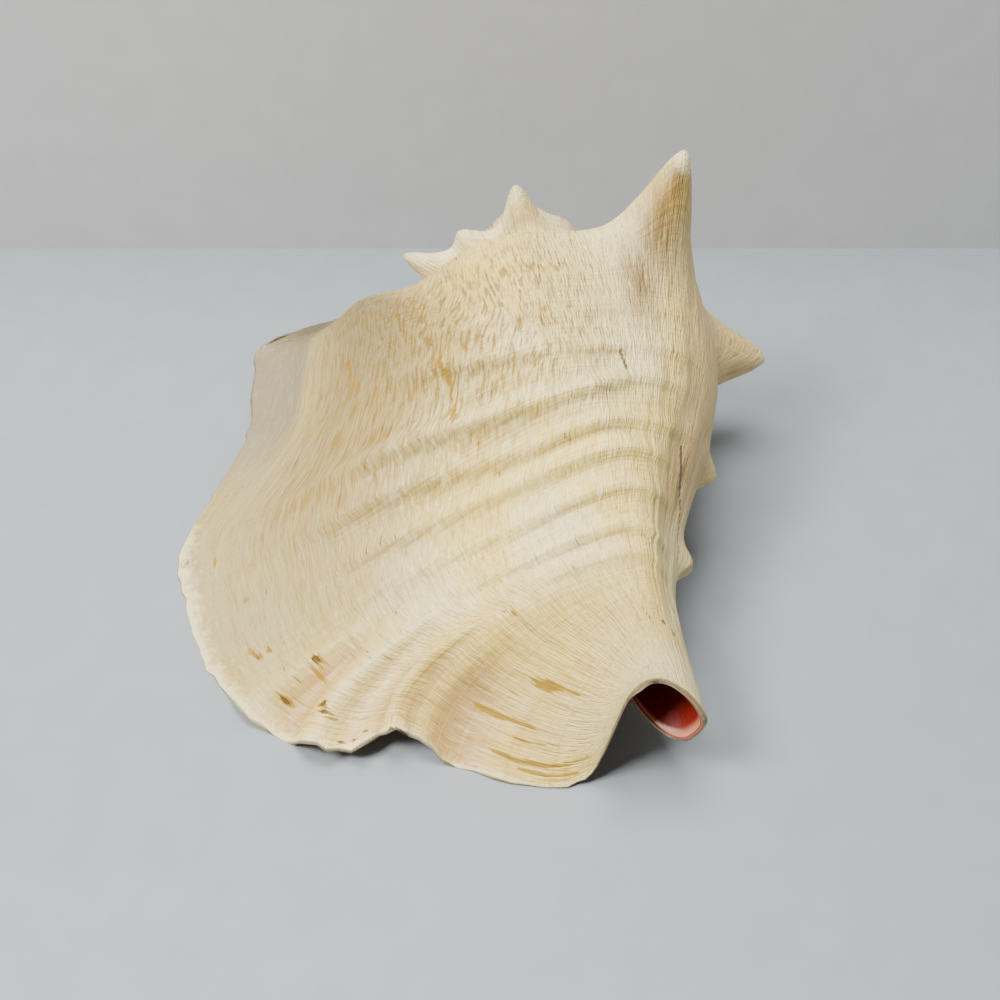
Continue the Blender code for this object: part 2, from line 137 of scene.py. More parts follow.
def frontEdge(t):
    notch = shell["canalNotch"] * softStep((t - shell["notchFrom"]) / shell["notchOpens"])
    recess = shell["pillarRecess"] * softStep((shell["recessFrom"] - t) / shell["canalOpens"])
    return notch + recess + shell["pillarStep"] * np.clip(-t - 1.0, 0.0, 2.0)


def growth(t):
    early = np.minimum(t + 1.0, 0.0)
    return shell["growthPerTurn"] ** (t - early) * shell["earlyGrowthPerTurn"] ** early


def bodyProfile(t, q):
    scale = growth(t)
    shoulderAt = shell["length"] - shell["shoulderBelowApex"] * scale
    at = shoulderAt + (frontEdge(t) - shoulderAt) * q
    begins, lasts = shell["fallChanges"]
    late = softStep((t - begins) / lasts)
    starts = shell["fallEarly"][0] + (shell["fallAtLip"][0] - shell["fallEarly"][0]) * late
    ends = shell["fallEarly"][1] + (shell["fallAtLip"][1] - shell["fallEarly"][1]) * late
    fall = softStep((q - starts) / (ends - starts))
    stage, spread, amount, highest, lowest = shell["swell"]
    swell = amount * hump((t - stage) / spread) * (1.0 - softStep((q - highest) / (lowest - highest)))
    inner = canalRadius(t)
    shoulder = shell["shoulderRadius"] * scale
    for stage, spread, amount in shell["shoulderDips"]:
        shoulder = shoulder - amount * hump((t - stage) / spread)
    return inner + (shoulder - inner) * (1.0 - fall) + swell, at


def coil(t, s):
    t, s = np.broadcast_arrays(np.asarray(t, float), np.asarray(s, float))
    shoulder = shell["shoulder"]
    radius, at = bodyProfile(t, np.clip((s - shoulder) / (1.0 - shoulder), 0.0, 1.0))
    sutureRadius, sutureAt = bodyProfile(t - 1.0, (shell["suture"] - shoulder) / (1.0 - shoulder))
    x = np.clip(s / shoulder, 0.0, 1.0)
    sag = shell["rampSag"] * (radius - sutureRadius) * np.sin(pi * x)
    radius = np.where(s < shoulder, sutureRadius + (radius - sutureRadius) * x, radius)
    at = np.where(s < shoulder, sutureAt + (at - sutureAt) * x - sag, at)
    along, right, above = axisFrame()
    angle = shell["lipAngle"] + 2.0 * pi * t
    return (np.array(shell["canalEnd"]) + along * at[..., None]
            + right * (radius * np.cos(angle))[..., None] + above * (radius * np.sin(angle))[..., None])


def hermite(start, leaving, end, arriving, u):
    return ((2 * u ** 3 - 3 * u ** 2 + 1) * start + (u ** 3 - 2 * u ** 2 + u) * leaving
            + (3 * u ** 2 - 2 * u ** 3) * end + (u ** 3 - u ** 2) * arriving)


def curveThrough(keys, points, x):
    keys, points = np.asarray(keys, float), np.asarray(points, float)
    step = np.diff(keys)
    slope = np.diff(points, axis=0) / step[:, None]
    tangent = np.empty_like(points)
    tangent[0], tangent[-1] = slope[0], slope[-1]
    weight = (step[1:] / (step[1:] + step[:-1]))[:, None]
    tangent[1:-1] = slope[:-1] * weight + slope[1:] * (1.0 - weight)
    i = np.clip(np.searchsorted(keys, x, side="right") - 1, 0, len(step) - 1)
    u = ((x - keys[i]) / step[i])[..., None]
    return hermite(points[i], tangent[i] * step[i][..., None],
                   points[i + 1], tangent[i + 1] * step[i][..., None], u)


def curveRows(rows, x):
    return curveThrough([row[0] for row in rows], [row[1:] for row in rows], x)


def lipMargin(s):
    keys = [0.0] + [row[0] for row in shell["lipMargin"]]
    points = [coil(0.0, 0.0)] + [np.array(row[1:]) for row in shell["lipMargin"]]
    return curveThrough(keys, points, s)


def flared(t, s):
    # the sheet without spines: the coil, which the lip leaves to sweep out to its margin
    t, s = np.broadcast_arrays(np.asarray(t, float), np.asarray(s, float))
    plain = coil(t, s)
    begun, fullness = np.moveaxis(curveRows(shell["lipLeaves"], s), -1, 0)
    step = 1e-3
    start = coil(begun, s)
    leaving = (start - coil(begun - step, s)) / step * (-begun * fullness)[..., None]
    end = lipMargin(s)
    heading = curveRows(shell["lipHeading"], s)
    arriving = heading * np.linalg.norm(end - start, axis=-1, keepdims=True)
    u = np.clip(1.0 - t / begun, 0.0, 1.0)[..., None]
    lip = hermite(start, leaving, end, arriving, u)
    share, spread, way = shell["lipSwell"]
    lip = lip + np.array(way) * hump((s - share) / spread)[..., None] * (4.0 * u * (1.0 - u)) ** 2
    hold = (1.0 - softStep(s / shell["sutureHold"]))[..., None]
    lip = lip * (1.0 - hold) + plain * hold
    return np.where((t > begun)[..., None], lip, plain)


def surfaceNormal(t, s, reach=2e-3):
    step = 2e-3
    across = flared(t, np.clip(s + reach, 0.0, 1.0)) - flared(t, np.clip(s - reach, 0.0, 1.0))
    forward = flared(np.minimum(t + step, 0.0), s) - flared(t - step, s)
    normal = np.cross(forward, across)
    return normal / (np.linalg.norm(normal, axis=-1, keepdims=True) + 1e-15)


def spineWay(stage, lean, turn):
    along, right, above = axisFrame()
    angle = shell["lipAngle"] + 2.0 * pi * stage + turn
    way = right * cos(angle) + above * sin(angle) + along * lean
    return way / np.linalg.norm(way)


def spineLift(t, s, points):
    lift = np.zeros_like(points)
    blunt = shell["spineBlunt"]
    for stage, share, height, width, lean, turn in shell["spines"]:
        away = np.linalg.norm(points - flared(stage, share), axis=-1) / width
        away = np.sqrt(away ** 2 + blunt ** 2) - blunt
        rise = height * np.exp(-shell["spineSharp"] * away ** shell["spineShape"])
        lift += (rise * (np.abs(t - stage) < shell["near"]))[..., None] * spineWay(stage, lean, turn)
    rim = (s - shell["shoulder"]) / (shell["suture"] - shell["shoulder"])
    covered, over = shell["spineCovered"]
    return lift * (1.0 - softStep((covered - t) / over) * softStep(rim))[..., None]


def knobLift(t, points):
    lift = np.zeros(points.shape[:-1])
    for stage, share, height, width in shell["knobs"]:
        away = np.linalg.norm(points - flared(stage, share), axis=-1) / width
        lift += height * np.exp(-away ** 2) * (np.abs(t - stage) < shell["near"])
    return lift


def foldLift(t, s):
    lift = np.zeros(np.broadcast(t, s).shape)
    start, length = shell["foldsRise"]
    for share, drift, rise, width in shell["folds"]:
        lift += rise * hump((s - share - drift * t) / width) * softStep((t - start) / length)
    return lift


# the fine relief and the marks that the skin carries
skin = {
    # share, rise, half width in share, first and last stage of each spiral cord
    "cords": (
        (0.335, 0.0004, 0.022, -0.44, -0.14), (0.405, 0.001, 0.022, -0.44, -0.1),
        (0.47, 0.0023, 0.02, -0.42, -0.05), (0.53, 0.0019, 0.019, -0.46, -0.05),
        (0.588, 0.0024, 0.019, -0.44, -0.06), (0.644, 0.0018, 0.019, -0.48, -0.08),
        (0.708, 0.0015, 0.017, -0.5, -0.12), (0.765, 0.0011, 0.017, -0.5, -0.14)),
    "cordDrift": (-0.05, -0.22, 0.14),  # in share, from this stage, over this many turns
    "cordFades": (0.15, 0.08, 0.1),  # turns to rise, to fade early, to fade
    "cordSides": (0.7, 2.3),  # steepness towards the spire and the canal
    # where along the drop the painted shade and dirt lie:
    "cordDrop": (0.36, 0.2),  # middle and half width, in half widths
    # amount, waves for each turn and share, seed
    "cordWander": (0.01, 9.0, 40.0, 3), "cordPatchy": (0.7, 22.0, 3.0, 5),
    # the edge of a halt in growth that runs between two folds: share, rise, half width, first, last stage
    "step": (0.786, 0.0012, 0.007, -0.19, -0.03),
    "stepFade": 0.03, "stepWander": (0.004, 40.0, 0.0, 9),
    "growthRise": 0.0003, "haltsPerTurn": 95.0, "haltsAlong": 5.0, "haltSeed": 7,
    "haltBend": (1.5, 8.0, 9.0, 11),
    "broadRise": 1.3, "broadPerHalt": 0.22, "broadAlong": 3.0, "broadSeed": 13,
    "lumpRise": 0.0007, "lumps": ((0.6, 14.0, 11.0, 17), (0.4, 30.0, 22.0, 19)),
    "calmFront": (1.02, 0.3, 0.25),  # calm from this share, over, what is left
    "fineFoot": 0.05, "fineOnSpire": 0.5, "fineLostWhereThin": 0.85, "fineLostAtEdge": 0.5,
    # how far the margin is nibbled and how far in that reaches
    "ragged": 0.0011, "raggedReach": 0.0055,
    "bites": ((0.5, 160.0, 0.0, 23), (0.3, 420.0, 0.0, 29)), "biteInwards": 0.2,
    "biteShares": (0.06, 0.93, 0.05),
    # where the late lip is thin: from this stage, below this share, above this share, each with its width
    "lateLip": (-0.16, 0.1), "thinBelow": (0.24, 0.06), "thinAbove": (0.86, 0.04),
    "canalWallFrom": (0.6, 0.3), "lipEdgeFrom": (-0.1, 0.1), "insideReach": 0.03,
    "columns": 410, "rampRows": 12, "rampMiddle": 0.105, "bodyRows": 84, "beforeRows": 24,
    "columnSamples": 4001, "insideStart": 0.03,
    "denser": ((-0.6, 0.1, 1.3), (-0.06, 0.04, 2.0)),  # columns: from this stage, over, how much
    # up to each share, how many rows the inside has
    "insideRows": ((0.6, 14), (0.84, 27), (1.0, 9)),
    "edgeRound": 0.45, "weld": 2e-6,
    # chalk along the margin: how far in, and the shares where it comes and goes; then around spine tips
    "chalkFade": 0.00825, "chalkShares": (0.36, 0.1, 0.9, 0.06),
    "chalkReach": 0.006, "chalkLeast": 0.2, "chalkFullHeight": 0.03,
    # the lining is pale at the thin back corner and along the rim: stage, over, share, over
    "palePlaces": ((-0.1, 0.05, 0.26, 0.06), (-0.012, 0.008, 0.9, 0.03)),
    "rimGrowth": (0.0, 0.5), "rimSkin": (0.25, 0.8, 0.0, 0.0),
    "strokeSharp": 0.7,
    # how long one turn and one share are, in metres, where the marks are
    "turnLength": 0.45, "shareLength": 0.25,
    # ochre strokes: stage and share of both ends, half width in metres, strength
    "patches": (
        (-0.117, 0.842, -0.121, 0.847, 0.0016, 1.0), (-0.123, 0.858, -0.123, 0.869, 0.0007, 0.8),
        (-0.098, 0.822, -0.094, 0.838, 0.0007, 0.5), (-0.097, 0.805, -0.1, 0.808, 0.0007, 0.6),
        (-0.067, 0.82, -0.071, 0.845, 0.0012, 1.0), (-0.054, 0.85, -0.058, 0.866, 0.0006, 0.9),
        (-0.033, 0.836, -0.029, 0.85, 0.0009, 1.0), (-0.029, 0.85, -0.034, 0.881, 0.0012, 1.0),
        (-0.037, 0.888, -0.04, 0.906, 0.0009, 0.9), (-0.019, 0.858, -0.019, 0.893, 0.001, 1.0),
        (-0.003, 0.448, -0.003, 0.455, 0.0011, 0.9), (-0.018, 0.455, -0.02, 0.463, 0.0005, 0.8),
        (-0.027, 0.586, -0.03, 0.592, 0.001, 1.0), (-0.035, 0.594, -0.038, 0.598, 0.0007, 0.9),
        (-0.055, 0.636, -0.057, 0.641, 0.001, 0.9), (-0.022, 0.646, -0.024, 0.65, 0.001, 1.0),
        (-0.048, 0.647, -0.05, 0.651, 0.0006, 0.7), (-0.033, 0.687, -0.024, 0.704, 0.0011, 1.0),
        (-0.153, 0.775, -0.156, 0.781, 0.0009, 0.9), (-0.14, 0.35, -0.149, 0.395, 0.0009, 0.8),
        (-0.149, 0.395, -0.157, 0.455, 0.0005, 0.8), (-0.057, 0.265, -0.073, 0.318, 0.001, 0.7),
        (-0.198, 0.275, -0.19, 0.34, 0.0012, 0.5), (-0.108, 0.24, -0.118, 0.3, 0.0011, 0.5)),
    # fine dark cracks, as strokes of the same kind
    "cracks": (
        (-0.289, 0.388, -0.294, 0.413, 0.0005, 0.7), (-0.294, 0.413, -0.3, 0.446, 0.0008, 1.0),
        (-0.41, 0.545, -0.435, 0.605, 0.0013, 1.0), (-0.435, 0.605, -0.47, 0.665, 0.001, 0.9),
        (-0.47, 0.665, -0.483, 0.715, 0.0008, 0.9), (-0.273, 0.858, -0.294, 0.892, 0.0005, 0.8),
        (-0.319, 0.874, -0.372, 0.888, 0.0006, 0.9), (-0.212, 0.96, -0.245, 0.985, 0.0005, 0.7),
        (-0.036, 0.684, -0.024, 0.7, 0.0006, 0.9), (-0.004, 0.722, -0.012, 0.748, 0.0006, 0.8),
        (-0.028, 0.587, -0.029, 0.59, 0.001, 0.9), (-0.036, 0.595, -0.037, 0.597, 0.0007, 0.8),
        (-0.056, 0.638, -0.056, 0.64, 0.0009, 0.9), (-0.003, 0.45, -0.003, 0.453, 0.001, 0.9),
        (-0.023, 0.647, -0.023, 0.649, 0.0008, 0.8), (-0.154, 0.776, -0.155, 0.78, 0.0007, 0.8)),
    # brown stain that streaks up a spine: stage, share, half widths
    "stains": (
        (-0.349, 0.212, 0.026, 0.07), (-0.326, 0.275, 0.022, 0.085), (-0.362, 0.18, 0.014, 0.04),
        (-0.43, 0.6, 0.01, 0.06)),
    # where the margin is curled or chipped: share, half width, reach outwards, lift, both in metres
    "chips": (
        (0.716, 0.014, 0.0015, 0.001), (0.741, 0.01, 0.0034, 0.0034), (0.757, 0.007, -0.003, 0.001),
        (0.772, 0.009, 0.0014, 0.0022), (0.8, 0.012, -0.0012, 0.0)),
    # width of the painted shade along the suture, and the fold depth where the valleys' painted shade is full
    "suture": 0.007, "valleyDepth": 0.0026,
}


def waves(t, s, row):
    amount, perTurn, perShare, seed = row
    return amount * noise(t * perTurn, s * perShare, seed)


def cordLift(t, s):
    # a cord rises gently on the side towards the spire and drops steeply towards the canal; the second value
    # is 1 along that drop, where tan is painted as shade and dirt
    lift = np.zeros(np.broadcast(t, s).shape)
    dropShadeAndDirt = np.zeros_like(lift)
    amount, begins, lasts = skin["cordDrift"]
    drift = amount * softStep((t - begins) / lasts)
    rises, early, fades = skin["cordFades"]
    gentle, steep = skin["cordSides"]
    middle, spread = skin["cordDrop"]
    for share, rise, width, first, last in skin["cords"]:
        wander = waves(t, np.full_like(t, share), skin["cordWander"])
        fade = softStep((t - first) / rises) * (1.0 - softStep((t - last + early) / fades))
        fade = fade * (1.0 + waves(t, s, skin["cordPatchy"]))
        away = (s - share - wander - drift) / width
        lift += rise * fade * hump(np.where(away < 0.0, away * gentle, away * steep))
        dropShadeAndDirt = np.maximum(dropShadeAndDirt, fade * np.exp(-((away - middle) / spread) ** 2))
    share, rise, width, first, last = skin["step"]
    fade = softStep((t - first) / skin["stepFade"]) * (1.0 - softStep((t - last) / skin["stepFade"]))
    return lift + rise * fade * hump((s - share - waves(t, s, skin["stepWander"])) / width), dropShadeAndDirt


def growthLift(t, s):
    # uneven growth halts, which follow the lip's shape, and lumps a finger wide
    per = skin["haltsPerTurn"]
    halt = noise(t * per + waves(t, s, skin["haltBend"]), s * skin["haltsAlong"], skin["haltSeed"])
    broad = noise(t * per * skin["broadPerHalt"], s * skin["broadAlong"], skin["broadSeed"])
    lumps = sum(waves(t, s, row) for row in skin["lumps"])
    calm, over, left = skin["calmFront"]
    narrow = softStep((calm - s) / over) * (1.0 - left) + left
    return (skin["growthRise"] * (halt + skin["broadRise"] * broad) + skin["lumpRise"] * lumps) * narrow


def outside(t, s):
    t, s = np.broadcast_arrays(np.asarray(t, float), np.asarray(s, float))
    points = flared(t, s)
    edge = np.exp(t / skin["raggedReach"])
    relief = knobLift(t, points) + foldLift(t, s)
    fine = cordLift(t, s)[0] + growthLift(t, s)
    fine = fine * softStep(s / skin["fineFoot"]) * np.where(t < -1.0, skin["fineOnSpire"], 1.0)
    fine = fine * (1.0 - skin["fineLostWhereThin"] * thinness(t, s)) * (1.0 - skin["fineLostAtEdge"] * edge)
    points = points + spineLift(t, s, points) + surfaceNormal(t, s) * (relief + fine)[..., None]
    return points + raggedEdge(t, s)


def raggedEdge(t, s):
    # the margin is nibbled, chipped and curled, which fades within a few millimetres of it
    heading = curveRows(shell["lipHeading"], s)
    heading = heading / np.linalg.norm(heading, axis=-1, keepdims=True)
    bite = sum(waves(s, s, row) for row in skin["bites"]) - skin["biteInwards"]
    foot, canal, over = skin["biteShares"]
    fade = np.exp(t / skin["raggedReach"]) * softStep(s / foot) * (1.0 - softStep((s - canal) / over))
    reach, lift = bite * skin["ragged"], np.zeros_like(s)
    for share, width, outwards, up in skin["chips"]:
        reach = reach + outwards * hump((s - share) / width)
        lift = lift + up * hump((s - share) / width)
    return heading * (reach * fade)[..., None] + np.array([0.0, 0.0, 1.0]) * (lift * fade)[..., None]


def thinParts(t, s):
    # 1 where the late lip is thin, first at its back corner, then where it folds into the canal
    stage, over = skin["lateLip"]
    late = softStep((t - stage) / over)
    below, belowOver = skin["thinBelow"]
    above, aboveOver = skin["thinAbove"]
    return late * softStep((below - s) / belowOver), late * softStep((s - above) / aboveOver)


def thinness(t, s):
    return np.maximum(*thinParts(t, s))


def insideFace(t, s):
    t, s = np.broadcast_arrays(np.asarray(t, float), np.asarray(s, float))
    clear = shell["insideFoot"]
    full = np.maximum(s, clear)
    share, over = skin["canalWallFrom"]
    wall = shell["wall"] + (shell["canalWall"] - shell["wall"]) * softStep((s - share) / over)
    stage, over = skin["lipEdgeFrom"]
    wall = wall + (shell["lipEdge"] - wall) * softStep((t - stage) / over)
    back, front = thinParts(t, full)
    wall = wall * (1.0 - (1.0 - shell["thinBack"]) * back) * (1.0 - (1.0 - shell["thinFront"]) * front)
    points = flared(t, full) + surfaceNormal(t, full) * foldLift(t, full)[..., None]
    points = points - surfaceNormal(t, full, skin["insideReach"]) * wall[..., None]
    points = points + raggedEdge(t, full)
    foot = outside(t - 1.0, shell["sutureInside"])
    share = np.clip(s / clear, 0.0, 1.0)[..., None]
    return foot + (points - foot) * share


def columnStages():
    # closer together over the last half turn, and closest at the margin
    fine = np.linspace(-1.0, 0.0, skin["columnSamples"])
    density = 1.0 + sum(more * softStep((fine - stage) / over) for stage, over, more in skin["denser"])
    total = np.concatenate([[0.0], np.cumsum((density[1:] + density[:-1]) / 2.0)])
    stages = np.interp(np.linspace(0.0, total[-1], skin["columns"] + 1), total, fine)
    stages[np.argmin(np.abs(stages - shell["cavityDepth"]))] = shell["cavityDepth"]
    return stages


def settle(points):
    # onto the table, with the middle of the footprint over the origin
    points = points.copy()
    points[..., 2] = np.maximum(points[..., 2], 0.0)
    return points - np.array(shell["footprintMiddle"])


def strokeMask(t, s, strokes):
    # soft strokes across the sheet, each 1 along its middle
    mask = np.zeros(np.broadcast(t, s).shape)
    turn, share = skin["turnLength"], skin["shareLength"]
    for startT, startS, endT, endS, width, strength in strokes:
        x, y = (t - startT) * turn, (s - startS) * share
        dx, dy = (endT - startT) * turn, (endS - startS) * share
        along = np.clip((x * dx + y * dy) / (dx * dx + dy * dy), 0.0, 1.0)
        away = np.hypot(x - along * dx, y - along * dy) / width
        mask = np.maximum(mask, strength * np.exp(-skin["strokeSharp"] * away ** 2))
    return mask


def stainMask(t, s):
    mask = np.zeros(np.broadcast(t, s).shape)
    for stage, share, wide, tall in skin["stains"]:
        mask = np.maximum(mask, np.exp(-((t - stage) / wide) ** 2 - ((s - share) / tall) ** 2))
    return mask


def chalkMask(t, s, points):
    comes, comesOver, goes, goesOver = skin["chalkShares"]
    chalk = softStep((s - comes) / comesOver) * (1.0 - softStep((s - goes) / goesOver))
    chalk = np.exp(t / skin["chalkFade"]) * chalk
    for stage, share, height, width, lean, turn in shell["spines"]:
        tip = flared(stage, share) + height * spineWay(stage, lean, turn)
        reach = skin["chalkReach"] * (skin["chalkLeast"] + height / skin["chalkFullHeight"])
        away = np.linalg.norm(points - tip, axis=-1) / reach
        chalk = np.maximum(chalk, np.exp(-away ** 2))
    return chalk


def addSheet(name, stages, shares, surface, inner):
    # a flat grid whose rows and columns are rolled up along the coil
    bpy.ops.object.select_all(action="DESELECT")
    bpy.ops.mesh.primitive_grid_add(x_subdivisions=len(stages) - 1, y_subdivisions=len(shares) - 1, size=1.0)
    sheet = bpy.context.object
    sheet.name = name
    mesh = sheet.data
    flat = np.empty(len(mesh.vertices) * 3)
    mesh.vertices.foreach_get("co", flat)
    flat = flat.reshape(-1, 3)
    column = np.rint((flat[:, 0] + 0.5) * (len(stages) - 1)).astype(int)
    row = np.rint((flat[:, 1] + 0.5) * (len(shares) - 1)).astype(int)
    points = surface(stages[:, None], shares[None, :])
    mesh.vertices.foreach_set("co", settle(points)[column, row].ravel())
    t, s = stages[column], shares[row]
    blank = np.zeros(len(t))
    insideness = blank + inner
    for stage, stageOver, share, shareOver in skin["palePlaces"]:
        pale = softStep((t - stage) / stageOver) * softStep((share - s) / shareOver)
        insideness = insideness * (1.0 - pale)
    # a pink tone with painted shade, strongest where the fold valleys are deepest
    valleyPinkAndShade = np.clip(-foldLift(t, s) / skin["valleyDepth"], 0.0, 1.0)
    if inner:
        chalk = patch = stain = crack = suture = dropShadeAndDirt = blank
    else:
        chalk, stain = chalkMask(t, s, points[column, row]), stainMask(t, s)
        patch, crack = strokeMask(t, s, skin["patches"]), strokeMask(t, s, skin["cracks"])
        # painted shade along the suture, and painted shade with dirt along each cord's drop
        suture, dropShadeAndDirt = np.exp(-(s / skin["suture"]) ** 2), cordLift(t, s)[1]
    corners = np.empty(len(mesh.loops), int)
    mesh.loops.foreach_get("vertex_index", corners)
    uv = mesh.uv_layers[0] if mesh.uv_layers else mesh.uv_layers.new()
    uv.name = "Growth"
    uv.data.foreach_set("uv", np.stack([t, s], axis=1)[corners].ravel())
    layers = {"Skin": (insideness, chalk, patch, stain), "Marks": (crack, suture, dropShadeAndDirt, valleyPinkAndShade)}
    for layer, masks in layers.items():
        colour = mesh.color_attributes.new(layer, "FLOAT_COLOR", "CORNER")
        colour.data.foreach_set("color", np.stack(masks, axis=1)[corners].ravel())
    return sheet


def stitch(solid, left, right, leftKeys, rightKeys):
    # triangles between two chains of vertices that run side by side, whose counts may differ
    made, i, j = [], 0, 0
    while i < len(left) - 1 or j < len(right) - 1:
        if j < len(right) - 1 and (i == len(left) - 1 or rightKeys[j + 1] <= leftKeys[i + 1]):
            corners = [left[i], right[j], right[j + 1]]
            j += 1
        else:
            corners = [left[i], right[j], left[i + 1]]
            i += 1
        if len(set(corners)) == 3 and not solid.faces.get(corners):
            made.append(solid.faces.new(corners))
    return made


def makeShell():
    stages = columnStages()
    turns = int(-shell["apexTurn"])
    suture, sutureInside = shell["suture"], shell["sutureInside"]
    half = skin["rampRows"] // 2
    bend = skin["rampMiddle"]
    ramp = np.concatenate([np.linspace(0.0, bend, half + 1), np.linspace(bend, shell["shoulder"], half)[1:],
                           np.linspace(shell["shoulder"], suture, 3)[1:]])
    middle = (suture + sutureInside) / 2.0
    body = np.concatenate([[suture, middle], np.linspace(sutureInside, 1.0, skin["bodyRows"])])
    cavity = stages[stages >= shell["cavityDepth"] - tolerance]
    before = np.linspace(sutureInside, 1.0, skin["beforeRows"])
    inside = [0.0, skin["insideStart"], shell["insideFoot"]]
    for share, count in skin["insideRows"]:
        inside += list(np.linspace(inside[-1], share, count + 1)[1:])
    inside = np.array(inside)
    long = np.concatenate([stages[:-1] + 1.0 - k for k in range(turns, 0, -1)] + [[0.0]])
    apex = coil(shell["tipTurn"], 0.0)

    def rampSurface(t, s):
        points = outside(t, s)
        points[:, 0] = outside(t[:, 0] - 1.0, suture)
        points[t[:, 0] < shell["apexTurn"] + 1.0 - tolerance, 0] = apex
        return points

    def insideSurface(t, s):
        points = insideFace(t, s)
        points[:, 0] = outside(t[:, 0] - 1.0, sutureInside)
        return points

    sheets = [addSheet("ramp", long, ramp, rampSurface, False),
              addSheet("body", stages, body, outside, False),
              addSheet("before", cavity[:-1] - 1.0, before, outside, True),
              addSheet("inside", cavity, inside, insideSurface, True)]
    print("Sheets rolled:", sum(len(sheet.data.polygons) for sheet in sheets), "faces")
    return sheets, (stages, ramp, body, cavity, before, inside)


def joinSheets(sheets):
    bpy.ops.object.select_all(action="DESELECT")
    for sheet in sheets:
        sheet.select_set(True)
    bpy.context.view_layer.objects.active = sheets[0]
    bpy.ops.object.join()
    joined = bpy.context.object
    joined.name = "conchShell"
    bpy.ops.object.mode_set(mode="EDIT")
    bpy.ops.mesh.select_all(action="SELECT")
    bpy.ops.mesh.remove_doubles(threshold=skin["weld"])
    bpy.ops.mesh.select_all(action="DESELECT")
    bpy.ops.object.mode_set(mode="OBJECT")
    return joined


def closeRims(joined, layout):
    # the lip's edge, the canal's rim, the deep end of the hollow and the pillar's tip
    stages, ramp, body, cavity, before, inside = layout
    solid = bmesh.new()
    solid.from_mesh(joined.data)
    vertices = list(solid.verts)
    tree = KDTree(len(vertices))
    for i, vertex in enumerate(vertices):
        tree.insert(vertex.co, i)
    tree.balance()

    def found(points):
        return [vertices[tree.find(point)[1]] for point in settle(points).reshape(-1, 3)]

    def between(chain, others, push, first, last):
        # a chain half way across an edge, pushed out so that the edge is rounded
        middle = []
        for vertex, other, way in zip(chain, settle(others).reshape(-1, 3), push):
            across = Vector(other) - vertex.co
            point = vertex.co + across * 0.5 + Vector(way) * across.length * skin["edgeRound"]
            point.z = max(point.z, 0.0)
            middle.append(point)
        start = [first] if first else []
        end = [last] if last else []
        return start + [solid.verts.new(point) for point in middle[len(start):len(middle) - len(end)]] + end

    edgeShares = np.concatenate([ramp, body[1:]])
    outerEdge, innerEdge = found(outside(0.0, edgeShares)), found(insideFace(0.0, inside))
    outerEdge[0] = found(outside(-1.0, shell["suture"]))[0]
    innerEdge[0] = found(outside(-1.0, shell["sutureInside"]))[0]
    heading = curveRows(shell["lipHeading"], edgeShares)
    heading = heading / np.linalg.norm(heading, axis=-1, keepdims=True)
    foot = found(outside(-1.0, body[1]))[0]
    lipMiddle = between(outerEdge, insideFace(0.0, edgeShares), heading, foot, None)

    rim = found(outside(cavity, 1.0))
    innerPoints = insideFace(cavity, 1.0)
    innerRim = found(innerPoints)
    forwards = np.tile(-axisFrame()[0], (len(rim), 1))
    rimMiddle = between(rim, innerPoints, forwards, None, lipMiddle[-1])

    faces = stitch(solid, outerEdge, lipMiddle, edgeShares, edgeShares)
    faces += stitch(solid, lipMiddle, innerEdge, edgeShares, inside)
    faces += stitch(solid, rim, rimMiddle, cavity, cavity)
    faces += stitch(solid, rimMiddle, innerRim, cavity, cavity)
    deepBefore = found(outside(cavity[0] - 1.0, before))
    deepInside = found(insideFace(cavity[0], inside))
    deepInside[0] = deepBefore[0]
    faces += stitch(solid, deepBefore, deepInside, before, inside)
    lastTurn = found(outside(-1.0, body[2:]))
    turnBefore = found(outside(cavity[-2] - 1.0, before))
    faces += stitch(solid, lastTurn, turnBefore, body[2:], before)

    first = found(outside(shell["apexTurn"], ramp[1:]))
    apex = found(coil(shell["tipTurn"], 0.0))[0]
    faces += stitch(solid, first, [apex], ramp[1:], [0.0])

    turn = stages[stages <= cavity[0] + tolerance]
    tip = found(outside(turn[::-1], 1.0)) + found(outside((cavity - 1.0)[::-1][1:], 1.0))
    tip += [deepInside[-1], rimMiddle[0]]
    centre = solid.verts.new(sum((vertex.co for vertex in tip), Vector()) / len(tip))
    for i in range(len(tip)):
        corners = [centre, tip[i], tip[(i + 1) % len(tip)]]
        if len(set(corners)) == 3:
            faces.append(solid.faces.new(corners))
    fresh = set(faces)
    growthLayer = solid.loops.layers.uv[0]
    skinLayer, marksLayer = (solid.loops.layers.float_color[i] for i in range(2))
    for face in faces:
        for loop in face.loops:
            old = [other for other in loop.vert.link_loops if other.face not in fresh]
            if old:
                loop[growthLayer].uv = old[0][growthLayer].uv
                loop[skinLayer] = old[0][skinLayer]
                loop[marksLayer] = old[0][marksLayer]
            else:
                loop[growthLayer].uv = skin["rimGrowth"]
                loop[skinLayer] = skin["rimSkin"]
    bmesh.ops.recalc_face_normals(solid, faces=solid.faces)
    edges = [edge for edge in solid.edges if len(edge.link_faces) != 2]
    loose = [vertex for vertex in solid.verts if not vertex.link_faces]
    print("Shell closed:", len(solid.faces), "faces,", len(edges), "open edges,", len(loose), "loose points")
    bmesh.ops.triangulate(solid, faces=[face for face in solid.faces if len(face.verts) > 4])
    solid.to_mesh(joined.data)
    solid.free()


sheets, layout = makeShell()
conch = joinSheets(sheets)
closeRims(conch, layout)
bpy.ops.object.shade_smooth()
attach(conch, "root")
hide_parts("shell")
print("Shell made:", sum(len(face.vertices) - 2 for face in conch.data.polygons), "triangles")


